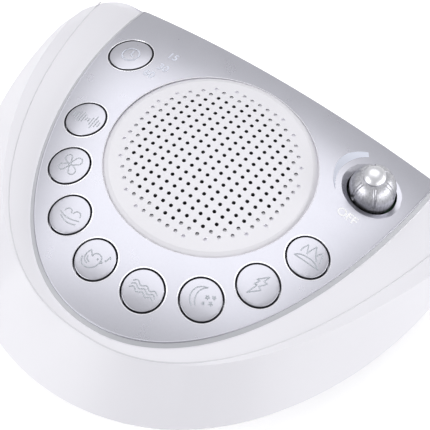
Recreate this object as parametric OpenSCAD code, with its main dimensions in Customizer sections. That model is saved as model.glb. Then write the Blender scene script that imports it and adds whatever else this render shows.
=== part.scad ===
// White noise sound machine: half-moon housing, domed face, perforated grille,
// eight sound buttons, a timer button and a volume knob.
// Millimetres, +Z up, +Y to the straight back. The origin is on the table, below the
// middle of the machine's box.

/* [Face dome] */
// Height of the dome above the table at the middle of the grille
dome_height = 39.7; // [35:0.1:48]
// Slope of the dome at the middle of the grille, down to the back (degrees)
dome_tilt = 4.19; // [0:0.1:8]
// Drop of the dome from the grille to the side of the face
side_drop = 10.1; // [6:0.1:14]
// Drop of the dome from the grille to the front of the face
front_drop = 7.1; // [4:0.1:12]
// Drop of the dome from the grille to the middle of the back edge
back_drop = 8.9; // [6:0.1:12]
// Drop of the dome from the grille to a back corner of the face
corner_drop = 18; // [16:0.1:19]

/* [Face panel] */
// Half of the face's width at its widest place
panel_side = 60; // [56:0.5:64]
// Y of the front of the face
panel_front = -44.7; // [-48:0.1:-42]
// Y where the face is widest
panel_mid = 59.35; // [54:0.5:64]
// Roundness of the face outline (2 is an ellipse)
panel_power = 2.09; // [2:0.01:2.3]
// Thickness of the face panel
panel_thickness = 2; // [1.6:0.1:2.5]
// Width of the bevel round the face
bevel_width = 1.7; // [0.8:0.1:2.5]
// Depth of the bevel below the dome
bevel_drop = 1.0; // [0.5:0.1:1.4]
// Gap between the face panel and the rim round it
panel_gap = 0.25; // [0.1:0.05:0.5]
// Gap between the face panel and the ledge under it
seat_gap = 0.15; // [0.1:0.05:0.3]

/* [Rim and band] */
// Half width, front Y, widest Y and roundness of the rim's outer crease
crease_side = 76.8; // [72:0.1:79]
crease_front = -47.4; // [-52:0.1:-46.5]
crease_mid = 105.8; // [95:0.1:115]
crease_power = 2.255; // [2:0.005:2.5]
// Height of the crease at the front, beside the grille and at its back end
crease_front_height = 31.9; // [29:0.1:33]
crease_side_height = 29.2; // [27:0.1:31]
crease_back_height = 20.2; // [20:0.1:21]
// Y where the crease runs into the back corner
crease_stop = 59.5; // [58:0.1:61]
// Half width, front Y, widest Y and roundness of the band's outer edge
band_side = 82.3; // [81:0.1:84]
band_front = -48.2; // [-53:0.1:-47.3]
band_mid = 97.55; // [90:0.1:105]
band_power = 2.131; // [2:0.005:2.4]
// Height of the band's edge at the front, beside the grille and at its back end
band_front_height = 31.1; // [28:0.1:32]
band_side_height = 28.5; // [26:0.1:30]
band_back_height = 19.0; // [18:0.1:20]
// Y where the band's edge runs into the back corner
band_stop = 52.8; // [51:0.1:56]

/* [Skirt and back] */
// Height of the skirt, the widest line of the housing
skirt_height = 19; // [17:0.1:21]
// Half width, front Y, widest Y and roundness of the skirt
skirt_side = 80.5; // [79:0.1:86]
skirt_front = -64.3; // [-70:0.1:-60]
skirt_mid = 38.9; // [34:0.1:44]
skirt_power = 2.03; // [2:0.01:2.3]
// Depth and width of the two back corners, which are a quarter of an ellipse
corner_depth = 25; // [16:0.5:28]
corner_width = 17; // [14:0.5:22]
// Y of the back wall at table level, and its slope per millimetre of height
back_line = 67.2; // [66:0.1:70]
back_draft = 0.153; // [0.05:0.001:0.2]
// Least height of the wall at the back corners
corner_lip = 0.9; // [0.6:0.1:1.2]
// Wall of both housings
wall = 2.2; // [1.8:0.1:2.6]
// Width of the ledge that carries the face panel
ledge_width = 5; // [4:0.1:6]
// Thickness of that ledge
ledge_thickness = 2; // [1.6:0.1:2.4]

/* [Lower housing] */
// Height of the joint below the skirt
split_drop = 1; // [0.6:0.1:1.4]
// Gap between the two housings
split_gap = 0.1; // [0.05:0.05:0.3]
// Inset of the lower housing at its top
bowl_top_inset = 1.4; // [1:0.1:2]
// Inset of the lower housing at the top of its back
bowl_back_inset = 0.8; // [0.4:0.1:1.4]
// Inset of the floor at the front and sides, and at the back
floor_inset = 14.5; // [12:0.1:16]
floor_back_inset = 3.6; // [2:0.1:5]
// Height of the floor's outside above the table
floor_height = 2; // [1.5:0.1:3]

/* [Grille] */
// Y of the middle of the grille
grille_y = 20.8; // [18:0.1:24]
// Radius of the grille disc
grille_radius = 34.1; // [32:0.1:35]
// Height of the disc above the face, and its thickness
grille_rise = 0.85; // [0.4:0.05:1.5]
grille_thickness = 1.6; // [1.2:0.1:2.2]
// Width and fall of the bevel round the disc
grille_bevel = 2.1; // [1.5:0.1:2.5]
bevel_fall = 1.1; // [1:0.1:1.4]
// Radius of the sphere that the disc is part of
grille_crown = 130; // [120:1:160]
// Distance between holes, and radius of a hole
hole_pitch = 3.01; // [2.8:0.01:3.3]
hole_radius = 0.62; // [0.5:0.01:0.8]
// Depth of the blind holes outside the open ones
dimple_depth = 0.6; // [0.3:0.1:1]
// Radius of the open field and of the dimpled field, in pitches squared
open_field = 66; // [50:1:80]
dimple_field = 92; // [82:1:100]
// Radius of the opening under the disc
mouth_radius = 27; // [25:0.5:28]
// Gap round the disc
grille_gap = 0.1; // [0.1:0.05:0.4]
// Thickness of the dust cloth and its distance inside the mouth
cloth_thickness = 0.4; // [0.2:0.1:0.8]
cloth_gap = 0.3; // [0.2:0.1:0.6]

/* [Buttons] */
// X and Y of the four button places on the right; the left ones mirror them
button_places = [[42.8, 11.7], [36.1, -5.2], [25, -19.2], [9, -27.1]];
// X and Y of the timer button
timer_place = [-47.8, 42.1];
// Radius of a sound button and of the timer button
button_radius = 6.45; // [6:0.05:6.6]
timer_radius = 7.05; // [6.5:0.05:7.2]
// Gap between a button and its hole
button_gap = 0.6; // [0.4:0.05:0.8]
// Height of a button above the face, at its middle
button_rise = 0.45; // [0.2:0.05:0.8]
// Radius of the sphere of a button's top
button_crown = 60; // [40:1:120]
// Travel of a button
travel = 0.8; // [0.5:0.1:1]
// Width and thickness of the button's flange
flange_width = 0.95; // [0.6:0.05:1.1]
flange_thickness = 1.2; // [1:0.1:1.4]
// Gap between pieces that move past each other
moving_gap = 0.3; // [0.3:0.05:0.4]
// Wall of the guide below each button hole, and its length below the panel
guide_wall = 1.0; // [0.8:0.1:1.2]
guide_length = 3.4; // [3:0.1:3.6]
// Radius of a button's stem
stem_radius = 2; // [1.5:0.1:2.5]

/* [Volume knob] */
// X and Y of the knob
knob_place = [45.15, 45];
// Radius of the knob at its foot
knob_radius = 7.5; // [7:0.1:7.7]
// Height of the knob above the face, and of its foot below the face
knob_height = 11.3; // [9:0.1:13]
knob_foot = 2; // [1.5:0.1:2.5]
// Height of the knob's straight part above the face, and radius of the taper above it
knob_skirt = 2; // [1.5:0.1:3]
knob_taper = 7; // [6:0.1:7]
// Radius of the round top of the knob, its height and the radius of its crown
knob_cap_radius = 3.6; // [3:0.1:4]
cap_height = 2.2; // [2.1:0.1:2.6]
cap_crown = 4.3; // [4.2:0.1:6]
// Gap round the knob
knob_gap = 0.7; // [0.5:0.1:1]
// Radius of the dish round the knob, and its depth
dish_radius = 10.9; // [10:0.1:11.5]
dish_depth = 1.1; // [0.8:0.1:1.4]
// Number of grooves down the knob, their turn from +X (degrees) and their radius
groove_count = 6; // [4:1:12]
groove_phase = 4; // [0:1:60]
groove_radius = 0.8; // [0.6:0.05:1]
// Distance of a groove's middle outside the knob's side
groove_shift = 0.35; // [0.2:0.05:0.5]
// Start of a groove above the face, and its arc up the taper (degrees)
groove_start = 0.8; // [0.3:0.1:1.2]
groove_arc = 58; // [40:1:60]
// Turn of the knob (degrees)
knob_turn = 280; // [240:5:320]
// Radius of the control's shaft, its clearance, and the size of the control's case
shaft_radius = 3; // [2.5:0.1:3.2]
shaft_clearance = 0.05; // [0.02:0.01:0.1]
control_width = 9.5; // [9:0.1:11]
control_depth = 11; // [10:0.1:12]
control_height = 6; // [5:0.1:6.5]
bushing_radius = 4.2; // [3.8:0.1:5]
bushing_height = 1.5; // [1:0.1:2]

/* [Speaker] */
// Radius of the speaker's flange, and its thickness
speaker_radius = 33; // [31:0.5:33]
flange_plate = 1.2; // [1:0.1:1.6]
// Height of the flange's top above the table
speaker_top = 31; // [30:0.1:31.5]
// Depth of the basket, and radius of its back
basket_depth = 12; // [10:0.5:13]
basket_back_radius = 15; // [13:0.5:17]
// Radius and thickness of the magnet
magnet_radius = 14; // [12:0.5:16]
magnet_thickness = 6; // [4:0.5:7]
// Wall of the collar that carries the speaker
collar_wall = 7.6; // [7:0.1:8]
// Radius of the circle of speaker screws
speaker_screw_circle = 29.3; // [29:0.1:29.5]

/* [Board and switches] */
// Height of the board's top above the skirt
board_lift = 0.5; // [0:0.1:0.8]
// Thickness of the board
board_thickness = 1.6; // [1:0.1:1.6]
// Radius of the board outside and inside, round the grille
board_radius = 60; // [58:0.5:61]
board_opening = 34; // [33.5:0.5:36]
// Y where the board ends at the back
board_back = 53.5; // [52:0.5:54]
// Width, height and plunger of a switch
switch_width = 6; // [5:0.1:7]
switch_height = 2.5; // [2:0.1:2.6]
plunger_radius = 1.7; // [1.2:0.1:2]
plunger_height = 0.6; // [0.4:0.1:0.7]

/* [Screws, feet and inlet] */
// Places of the housing screws, the panel screws and the board screws
housing_screw_places = [[24, -40], [58.5, 48]];
panel_screw_places = [[36.3, -17.2], [54.2, 27], [20, 59.8]];
board_screw_places = [[47.5, 26], [34, 50]];
// Y of the front panel screw and the front board screw
front_panel_screw = -41.3; // [-42:0.1:-41]
front_board_screw = -35.3; // [-36:0.1:-35]
// Radius of a housing boss, of its screw and of the screw's head
boss_radius = 3.5; // [3.2:0.1:3.8]
screw_radius = 1.3; // [1.1:0.1:1.5]
head_radius = 2.6; // [2.4:0.1:2.8]
// Radius of a small post, of its screw and of the screw's head
post_radius = 2.4; // [2.2:0.1:2.6]
small_screw_radius = 0.9; // [0.7:0.1:1]
small_head_radius = 1.9; // [1.7:0.1:2]
// Height of a small screw's head, and radius of a panel screw's head
small_head_height = 1.2; // [0.8:0.1:1.4]
panel_head_radius = 3.3; // [3:0.1:3.5]
// Depth of the panel, board and speaker screws in the face panel
panel_screw_grip = 3.2; // [2.6:0.1:3.2]
board_screw_grip = 5; // [4:0.1:6]
speaker_screw_grip = 2; // [1.5:0.1:2.5]
// Gap round a screw
screw_gap = 0.1; // [0.05:0.05:0.2]
// Radius and height of a foot, and its depth in the floor
foot_radius = 6; // [5:0.1:7]
foot_height = 2.8; // [2.6:0.1:3.2]
foot_recess = 0.8; // [0.5:0.1:1]
// Places of the feet on the right; the left ones mirror them
foot_places = [[46, 44], [34, -28]];
// X and height of the power inlet, its nose radius and its bore
inlet_x = 0; // [-20:0.5:20]
inlet_height = 10.5; // [9.5:0.1:11]
inlet_nose = 4; // [3.6:0.1:4.4]
inlet_bore = 2.8; // [2.6:0.1:3]
inlet_pin = 0.95; // [0.8:0.05:1.1]
inlet_length = 11; // [10:0.5:14]
// Width and height of the inlet's case
inlet_case = 9.4; // [8.5:0.1:10]

/* [Hidden] */

$fn = 64;
arc_steps = 64;
corner_steps = 8;
back_steps = 24;
ring_size = arc_steps + 2 * corner_steps + back_steps;
far = 200;

white = [0.93, 0.93, 0.95];
silver = [0.72, 0.72, 0.76];
dark = [0.1, 0.1, 0.1];
steel = [0.62, 0.62, 0.65];
green = [0.12, 0.35, 0.2];

split = skirt_height - split_drop;
panel_seat = panel_thickness + seat_gap;
board_top = skirt_height + board_lift;
head_depth = 6;
head_height = 2;
head_room = 4;
disc_reach = 15;
rim_drop = pow(grille_radius - grille_bevel, 2) / (2 * grille_crown);
grille_pole = grille_y + sin(dome_tilt) * rim_drop;

// The dome's five factors, from the heights named above.
panel_back = back_line - back_draft * (dome_height - back_drop);
front_run = panel_front - grille_y;
back_run = panel_back - grille_y;
slope = tan(dome_tilt);
front_bend = (front_drop - slope * front_run) / pow(front_run, 2);
back_bend = (back_drop - slope * back_run) / pow(back_run, 2);
nose = (back_bend - front_bend) / (back_run - front_run);
long_bend = front_bend - nose * front_run;
cross_bend = side_drop / pow(panel_side, 2);
corner_run = back_line - back_draft * (dome_height - corner_drop) - grille_y;
straight_corner_drop = slope * corner_run + long_bend * pow(corner_run, 2)
    + nose * pow(corner_run, 3) + side_drop;
spread = (straight_corner_drop - corner_drop) / (corner_run * pow(panel_side, 2));

// Height of the dome above the table at a place.
function dome(x, y) = let (u = y - grille_y)
    dome_height - slope * u - long_bend * u * u - nose * u * u * u
    - cross_bend * x * x + spread * u * x * x;

function dome_normal(x, y) = let (
    d = 0.5,
    gx = (dome(x + d, y) - dome(x - d, y)) / (2 * d),
    gy = (dome(x, y + d) - dome(x, y - d)) / (2 * d),
    length = sqrt(gx * gx + gy * gy + 1)
) [-gx, -gy, 1] / length;

function back_y(z) = back_line - back_draft * z;

inlet_face = back_y(skirt_height) - bowl_back_inset - 0.1;
knob_face = dome(knob_place[0], knob_place[1]);
knob_bottom = knob_face - knob_foot;
knob_shoulder = knob_foot + knob_skirt;
shaft_top = knob_face + knob_height - 3;

// Y of the back plane where it meets the dome lowered by drop.
function back_edge(x, drop) = back_y(dome(x, back_y(dome(x, panel_back))) - drop);

function signed_power(v, e) = sign(v) * pow(abs(v), e);

// The front arc of a half-moon, from its left end round the front to its right end.
function bow(side, front, mid, power, stop) = let (
    reach = mid - front,
    last = acos(signed_power((mid - stop) / reach, power / 2))
) [for (i = [0:arc_steps]) let (
        phi = last * (2 * i / arc_steps - 1)
    ) [
        side * signed_power(sin(phi), 2 / power),
        mid - reach * signed_power(cos(phi), 2 / power)
    ]];

// A parabola through three points.
function through(y, a, b, c) =
    a[1] * (y - b[0]) * (y - c[0]) / ((a[0] - b[0]) * (a[0] - c[0]))
    + b[1] * (y - a[0]) * (y - c[0]) / ((b[0] - a[0]) * (b[0] - c[0]))
    + c[1] * (y - a[0]) * (y - b[0]) / ((c[0] - a[0]) * (c[0] - b[0]));

// A whole ring from its arc and the right half of its back, which is mirrored.
function close_ring(arc, half_back) = let (last = len(half_back) - 1)
    concat(arc, half_back,
        [for (i = [last - 1:-1:0]) [-half_back[i][0], half_back[i][1], half_back[i][2]]]);

half_steps = corner_steps + back_steps / 2;

// A level half-moon ring, inset from the skirt.
function skirt_ring(inset, back_inset, z) = let (
    back = min(back_y(z), back_y(skirt_height)) - back_inset,
    stop = back_y(skirt_height) - corner_depth,
    arc = bow(skirt_side - inset, skirt_front + inset, skirt_mid, skirt_power, stop),
    end = arc[arc_steps][0],
    turn = max(corner_width - inset, 3)
) close_ring(
    [for (p = arc) [p[0], p[1], z]],
    [for (i = [1:half_steps]) i <= corner_steps
        ? let (t = 90 * i / corner_steps)
            [end - turn + turn * cos(t), stop + (back - stop) * sin(t), z]
        : [(end - turn) * (1 - 2 * (i - corner_steps) / back_steps), back, z]]
);

// Half width of the skirt outline, inset, at a given Y behind the corner's start.
function corner_x(y, inset) = let (
    stop = back_y(skirt_height) - corner_depth,
    reach = skirt_mid - skirt_front,
    widest = skirt_side * pow(1 - pow(abs((skirt_mid - stop) / reach), skirt_power),
        1 / skirt_power),
    r = corner_depth - inset,
    d = min(max(y - stop, 0), r)
) y < stop ? far : widest - corner_width + (corner_width - inset) * sqrt(1 - pow(d / r, 2));

// A sloping ring of the upper housing: a crease with its own arc and heights.
function slope_ring(side, front, mid, power, stop, heights, inset, drop, least) = let (
    arc = bow(side, front, mid, power, stop),
    start = back_y(skirt_height) - corner_depth,
    r = corner_depth - inset,
    centre = corner_x(start + r, inset),
    first = asin(min(1, (stop - start) / r)),
    end_height = max(through(stop, heights[0], heights[1], heights[2]), least),
    level = max(dome(panel_side, back_edge(panel_side, 0)) - bevel_drop - drop, least)
) close_ring(
    [for (p = arc) [
        sign(p[0]) * min(abs(p[0]), corner_x(p[1], inset)),
        p[1],
        max(through(p[1], heights[0], heights[1], heights[2]), least)
    ]],
    [for (i = [1:half_steps]) i <= corner_steps
        ? let (
            share = i / corner_steps,
            t = first + (90 - first) * share
        ) [
            centre + (corner_width - inset) * cos(t),
            start + r * sin(t),
            end_height + (level - end_height) * share
        ]
        : let (
            x = centre * (1 - 2 * (i - corner_steps) / back_steps),
            z = max(dome(x, panel_back) - panel_seat - drop, least)
        ) [x, min(back_y(z), back_y(skirt_height)) - inset, z]]
);

// A ring that follows the dome, inset from the face outline; its back lies in the back
// plane, moved in by back_inset.
function face_ring(inset, back_inset, drop, back_drop_here, least) = let (
    edge = back_edge(panel_side, drop) - back_inset,
    turn = 1 + min(max(inset, 0), 12) / 3,
    arc = bow(panel_side - inset, panel_front + inset, panel_mid, panel_power, edge - turn),
    end = arc[arc_steps][0]
) close_ring(
    [for (p = arc) [p[0], p[1], max(dome(p[0], p[1]) - drop, least)]],
    [for (i = [1:half_steps]) let (
            share = min(1, i / corner_steps),
            t = 90 * share,
            x = i <= corner_steps
                ? end - turn + turn * cos(t)
                : (end - turn) * (1 - 2 * (i - corner_steps) / back_steps),
            flat = back_edge(x, back_drop_here) - back_inset,
            y = i <= corner_steps ? edge - turn + (flat - edge + turn) * sin(t) : flat,
            z = dome(x, y) - drop + (drop - back_drop_here) * share
        ) [x, y, max(z, least)]]
);

function level_ring(ring, z) = [for (p = ring) [p[0], p[1], z]];

// Joins rings with triangles. A closed loft runs from its last ring back to its first.
module loft(rings, closed) {
    count = len(rings);
    size = len(rings[0]);
    spans = closed ? count : count - 1;
    sides = [for (k = [0:spans - 1]) for (i = [0:size - 1]) let (
            j = (i + 1) % size,
            a = k * size,
            b = ((k + 1) % count) * size
        ) each [[a + i, a + j, b + j], [a + i, b + j, b + i]]];
    first_cap = [for (i = [size - 1:-1:0]) i];
    last_cap = [for (i = [0:size - 1]) (count - 1) * size + i];
    polyhedron(
        points = [for (ring = rings) each ring],
        faces = closed ? sides : concat(sides, [first_cap, last_cap]),
        convexity = 8
    );
}

function mirrored(places) = [for (p = places) each [p, [-p[0], p[1]]]];

housing_screw_all = mirrored(housing_screw_places);
panel_screw_all = concat([[0, front_panel_screw]], mirrored(panel_screw_places));
board_screw_all = concat([[0, front_board_screw]], mirrored(board_screw_places));
sound_places = concat(
    [for (p = button_places) [-p[0], p[1]]],
    [for (i = [3:-1:0]) button_places[i]]
);
all_buttons = concat([for (p = sound_places) [p, button_radius]], [[timer_place, timer_radius]]);

function guide_end(p) = dome(p[0], p[1]) - panel_thickness - guide_length;
function boss_top(p) = dome(p[0], p[1]) - bevel_drop - 1.6;
function ledge_under(p) = dome(p[0], p[1]) - panel_seat - ledge_thickness;

// ---- housing ----

function crease_heights(down) = [
    [crease_front, crease_front_height - down],
    [grille_y, crease_side_height - down],
    [crease_stop, crease_back_height - down]
];
function band_heights(down) = [
    [band_front, band_front_height - down],
    [grille_y, band_side_height - down],
    [band_stop, band_back_height - down]
];

module top_shell() {
    lip = skirt_height + corner_lip;
    step = 0.25;
    inner = split + step;
    loft([
        face_ring(ledge_width, wall + ledge_width, panel_seat, panel_seat, 0),
        face_ring(-panel_gap, 0, panel_seat, panel_seat, 0),
        face_ring(-panel_gap, 0, bevel_drop, panel_seat + step, 0),
        slope_ring(crease_side, crease_front, crease_mid, crease_power, crease_stop,
            crease_heights(0), 0.1, 2 * step, lip + step),
        slope_ring(band_side, band_front, band_mid, band_power, band_stop,
            band_heights(0), 0.05, 3 * step, lip),
        skirt_ring(0, 0, skirt_height),
        skirt_ring(0.7, 0.2, split),
        skirt_ring(0.7 + wall, wall, split),
        slope_ring(band_side - wall, band_front + wall, band_mid, band_power,
            band_stop - wall, band_heights(wall), wall, ledge_thickness + step, inner),
        slope_ring(crease_side - wall / 2, crease_front + wall / 2, crease_mid, crease_power,
            crease_stop - wall, crease_heights(wall), wall + step, ledge_thickness + step,
            inner + step),
        face_ring(wall / 2, wall + 2 * step, panel_seat + ledge_thickness,
            panel_seat + ledge_thickness, inner + 1.2 * step),
        face_ring(ledge_width, wall + ledge_width, panel_seat + ledge_thickness,
            panel_seat + ledge_thickness, inner + 1.2 * step)
    ], true);
}

module top_housing() {
    color(white) difference() {
        union() {
            top_shell();
            for (p = housing_screw_all)
                translate([p[0], p[1], split])
                    cylinder(r = boss_radius, h = boss_top(p) - split);
        }
        for (p = housing_screw_all)
            translate([p[0], p[1], split - 1])
                cylinder(r = screw_radius + screw_gap, h = boss_top(p) - split);
        for (b = all_buttons) {
            p = b[0];
            reach = b[1] + button_gap + guide_wall + moving_gap + 0.2;
            translate([p[0], p[1], board_top])
                cylinder(r = reach, h = dome(p[0], p[1]) - bevel_drop - 1.6 - board_top);
        }
        for (p = panel_screw_all)
            translate([p[0], p[1], ledge_under(p) - head_room]) {
                cylinder(r = post_radius + 2 * screw_gap, h = head_room + ledge_thickness + 0.6);
                // Flat seat for the head below the sloping ledge.
                cylinder(r = panel_head_radius + 2 * screw_gap, h = head_room);
            }
    }
}

module bowl_shell() {
    top = split - split_gap;
    depth = top - floor_height;
    run = floor_inset - bowl_top_inset;
    steps = 6;
    // The side curves in like a quarter of an ellipse, steep at the top.
    function inset_at(k) = bowl_top_inset + run * (1 - cos(90 * k / steps));
    function height_at(k) = top - depth * sin(90 * k / steps);
    function back_at(k) = bowl_back_inset + (floor_back_inset - bowl_back_inset)
        * pow(k / steps, 3);
    outer = [for (k = [0:steps]) skirt_ring(inset_at(k), back_at(k), height_at(k))];
    inner = [for (k = [steps:-1:0]) skirt_ring(inset_at(k) + wall, back_at(k) + wall,
        max(height_at(k) + wall * (k / steps), floor_height + wall))];
    loft(concat(inner, outer), false);
}

module bottom_housing() {
    color(white) difference() {
        union() {
            bowl_shell();
            for (p = housing_screw_all)
                translate([p[0], p[1], floor_height])
                    cylinder(r = boss_radius + 0.3, h = split - split_gap - floor_height);
            // Cradle below the inlet.
            translate([inlet_x - inlet_case / 2, inlet_face - inlet_length, floor_height])
                cube([inlet_case, inlet_length - 2,
                    inlet_height - inlet_case / 2 - floor_height]);
        }
        for (p = housing_screw_all) {
            translate([p[0], p[1], floor_height - 1])
                cylinder(r = head_radius + 2 * screw_gap, h = head_depth + 1);
            translate([p[0], p[1], floor_height])
                cylinder(r = screw_radius + 2 * screw_gap, h = split);
        }
        for (p = mirrored(foot_places))
            translate([p[0], p[1], floor_height - 1])
                cylinder(r = foot_radius + screw_gap, h = foot_recess + 1);
        translate([inlet_x, back_line + 1, inlet_height])
            rotate([90, 0, 0]) cylinder(r = inlet_nose + screw_gap, h = 8);
    }
}

// ---- face ----

// Rings that step in from the face outline, from the middle outwards.
face_insets = [44, 36, 28, 20, 13, 7];

// The face as a solid block: dome, bevel and sides, down to a flat base.
module face_block() {
    edge = face_ring(0, 0, bevel_drop, bevel_drop / 3, 0);
    base = [for (p = edge) let (
            share = max(0, (p[1] - grille_y) / (panel_back - grille_y))
        ) [p[0], p[1] + share * share * back_draft * (p[2] - board_top), board_top]];
    loft(concat(
        [for (d = face_insets) face_ring(d, d, 0, 0, 0)],
        [face_ring(bevel_width, 0, 0, 0, 0), edge, base]
    ), false);
}

// The hollow below the face, wider than the face.
module face_hollow() {
    reach = 4;
    under = [for (d = [face_insets[0], face_insets[2], face_insets[3], face_insets[5], -reach])
        face_ring(d, d, panel_thickness, panel_thickness, 0)];
    loft(concat(under, [level_ring(under[4], board_top - 1)]), false);
}

// The disc's sphere leans with the face's own slope at the grille.
module grille_sphere(down) {
    translate([0, grille_pole, dome_height - down]) rotate([-dome_tilt, 0, 0])
        translate([0, 0, -grille_crown]) sphere(r = grille_crown, $fn = 256);
}

module face_posts() {
    for (b = all_buttons)
        translate([b[0][0], b[0][1], guide_end(b[0])])
            cylinder(r = b[1] + button_gap + guide_wall, h = far);
    translate([0, grille_y, speaker_top]) cylinder(r = mouth_radius + collar_wall, h = far);
    for (p = board_screw_all)
        translate([p[0], p[1], board_top]) cylinder(r = post_radius, h = far);
    for (p = panel_screw_all)
        translate([p[0], p[1], ledge_under(p)]) cylinder(r = post_radius, h = far);
}

module face_panel() {
    color(silver) difference() {
        face_block();
        // The guides and posts stay standing in the hollow.
        difference() {
            face_hollow();
            face_posts();
        }
        for (b = all_buttons)
            translate([b[0][0], b[0][1], board_top])
                cylinder(r = b[1] + button_gap, h = far);
        translate([0, grille_y, board_top]) cylinder(r = mouth_radius, h = far);
        // Seat of the grille disc.
        difference() {
            translate([0, grille_y, board_top])
                cylinder(r = grille_radius + grille_gap, h = far);
            grille_sphere(grille_thickness - grille_rise);
        }
        translate([knob_place[0], knob_place[1], board_top])
            cylinder(r = knob_radius + knob_gap, h = far);
        knob_dish();
        for (p = board_screw_all)
            translate([p[0], p[1], board_top - 1])
                cylinder(r = small_screw_radius + screw_gap, h = 1 + board_screw_grip);
        for (p = panel_screw_all)
            translate([p[0], p[1], ledge_under(p) - 1])
                cylinder(r = small_screw_radius + screw_gap, h = 1 + panel_screw_grip);
        for (a = [45:90:315])
            translate([
                speaker_screw_circle * cos(a), grille_y + speaker_screw_circle * sin(a),
                speaker_top - 1
            ]) cylinder(r = small_screw_radius + screw_gap, h = 1 + speaker_screw_grip);
    }
}

// The dish round the knob, square to the dome.
module knob_dish() {
    n = dome_normal(knob_place[0], knob_place[1]);
    tilt = acos(n[2]);
    turn = atan2(n[1], n[0]);
    hole = knob_radius + knob_gap;
    translate([knob_place[0], knob_place[1], dome(knob_place[0], knob_place[1])])
        rotate([0, 0, turn]) rotate([0, tilt, 0])
            translate([0, 0, -dish_depth])
                cylinder(r1 = hole, r2 = dish_radius + (dish_radius - hole) / dish_depth,
                    h = dish_depth + 1);
}

// Places of the grille's holes, in a round field or in a ring of it.
function grille_places(inner, outer) = let (reach = floor(sqrt(outer))) [
    for (i = [-reach:reach]) for (j = [-reach:reach])
        if (i * i + j * j <= outer && i * i + j * j > inner)
            [i * hole_pitch, grille_y + j * hole_pitch]
];

// Height of the disc's top at a place.
function grille_top(p) = let (
    run = pow(p[0], 2) + pow(p[1] - grille_pole + sin(dome_tilt) * grille_crown, 2)
) dome_height + grille_rise - cos(dome_tilt) * grille_crown + sqrt(pow(grille_crown, 2) - run);

module speaker_grille() {
    top_radius = grille_radius - grille_bevel;
    spread_out = disc_reach * grille_bevel / bevel_fall;
    color(white) difference() {
        intersection() {
            translate([0, grille_y, speaker_top])
                cylinder(r = grille_radius, h = disc_reach);
            grille_sphere(-grille_rise);
            // Bevel of the rim.
            translate([0, grille_pole, dome_height + grille_rise])
                rotate([-dome_tilt, 0, 0]) translate([0, 0, -rim_drop - disc_reach])
                    cylinder(r1 = top_radius + spread_out, r2 = top_radius - spread_out,
                        h = 2 * disc_reach);
        }
        grille_sphere(grille_thickness - grille_rise);
        for (p = grille_places(-1, open_field))
            translate([p[0], p[1], speaker_top])
                cylinder(r = hole_radius, h = disc_reach, $fn = 16);
        for (p = grille_places(open_field, dimple_field))
            translate([p[0], p[1], grille_top(p) - dimple_depth])
                cylinder(r = hole_radius, h = 2 * dimple_depth, $fn = 16);
    }
}

module grille_cloth() {
    color(dark) intersection() {
        translate([0, grille_y, speaker_top])
            cylinder(r = mouth_radius - cloth_gap, h = disc_reach);
        difference() {
            grille_sphere(grille_thickness - grille_rise);
            grille_sphere(grille_thickness - grille_rise + cloth_thickness);
        }
    }
}

// ---- buttons ----

module button(p, radius) {
    z = dome(p[0], p[1]);
    n = dome_normal(p[0], p[1]);
    foot = guide_end(p) - moving_gap;
    switch_top = board_top + switch_height + plunger_height;
    stem_end = switch_top + moving_gap + travel;
    color(silver) {
        intersection() {
            translate([p[0], p[1], foot - flange_thickness])
                cylinder(r = radius, h = 20);
            translate([p[0], p[1], z + button_rise] - n * button_crown)
                sphere(r = button_crown, $fn = 128);
        }
        translate([p[0], p[1], foot - flange_thickness])
            cylinder(r = radius + button_gap + flange_width, h = flange_thickness);
        translate([p[0], p[1], stem_end])
            cylinder(r = stem_radius, h = foot - stem_end);
    }
}

module button_noise() {
    button(sound_places[0], button_radius);
}

module button_rain() {
    button(sound_places[1], button_radius);
}

module button_stream() {
    button(sound_places[2], button_radius);
}

module button_bird() {
    button(sound_places[3], button_radius);
}

module button_waves() {
    button(sound_places[4], button_radius);
}

module button_night() {
    button(sound_places[5], button_radius);
}

module button_storm() {
    button(sound_places[6], button_radius);
}

module button_fire() {
    button(sound_places[7], button_radius);
}

module timer_button() {
    button(timer_place, timer_radius);
}

// ---- volume knob ----

// A tapered dome with a round cap on it.
module knob_solid() {
    rotate_extrude() union() {
        square([knob_radius, knob_shoulder]);
        translate([0, knob_shoulder])
            intersection() {
                square([knob_radius, knob_height - cap_height - knob_skirt]);
                translate([knob_radius - knob_taper, 0]) circle(r = knob_taper, $fn = 96);
            }
        translate([0, knob_shoulder])
            square([knob_radius - knob_taper, knob_height - cap_height - knob_skirt]);
        intersection() {
            square([knob_cap_radius, knob_foot + knob_height]);
            translate([0, knob_foot + knob_height - cap_crown]) circle(r = cap_crown);
        }
    }
}

// One groove follows the knob's side: up the straight part, then over the dome.
module knob_groove() {
    translate([knob_radius + groove_shift, 0, knob_foot + groove_start])
        cylinder(r = groove_radius, h = knob_skirt - groove_start, $fn = 24);
    translate([knob_radius - knob_taper, 0, knob_shoulder])
        rotate([90, 0, 0]) rotate_extrude(angle = groove_arc)
            translate([knob_taper + groove_shift, 0]) circle(r = groove_radius, $fn = 24);
}

module volume_knob() {
    color(silver) translate([knob_place[0], knob_place[1], knob_bottom]) difference() {
        knob_solid();
        translate([0, 0, -1]) cylinder(r = shaft_radius + shaft_clearance,
            h = shaft_top - knob_bottom + 1 + shaft_clearance);
        for (k = [0:groove_count - 1])
            rotate([0, 0, groove_phase + 360 * k / groove_count]) knob_groove();
    }
}

module control_shaft() {
    color(steel) translate([knob_place[0], knob_place[1], board_top + 1])
        cylinder(r = shaft_radius, h = shaft_top - board_top - 1);
}

module volume_control() {
    bore = shaft_radius + shaft_clearance;
    color(dark) translate([knob_place[0], knob_place[1], board_top]) difference() {
        union() {
            translate([-control_width / 2, -control_depth / 2, 0])
                cube([control_width, control_depth, control_height]);
            cylinder(r = bushing_radius, h = control_height + bushing_height);
        }
        translate([0, 0, 1 - shaft_clearance])
            cylinder(r = bore, h = control_height + bushing_height);
    }
}

// ---- speaker ----

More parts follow.
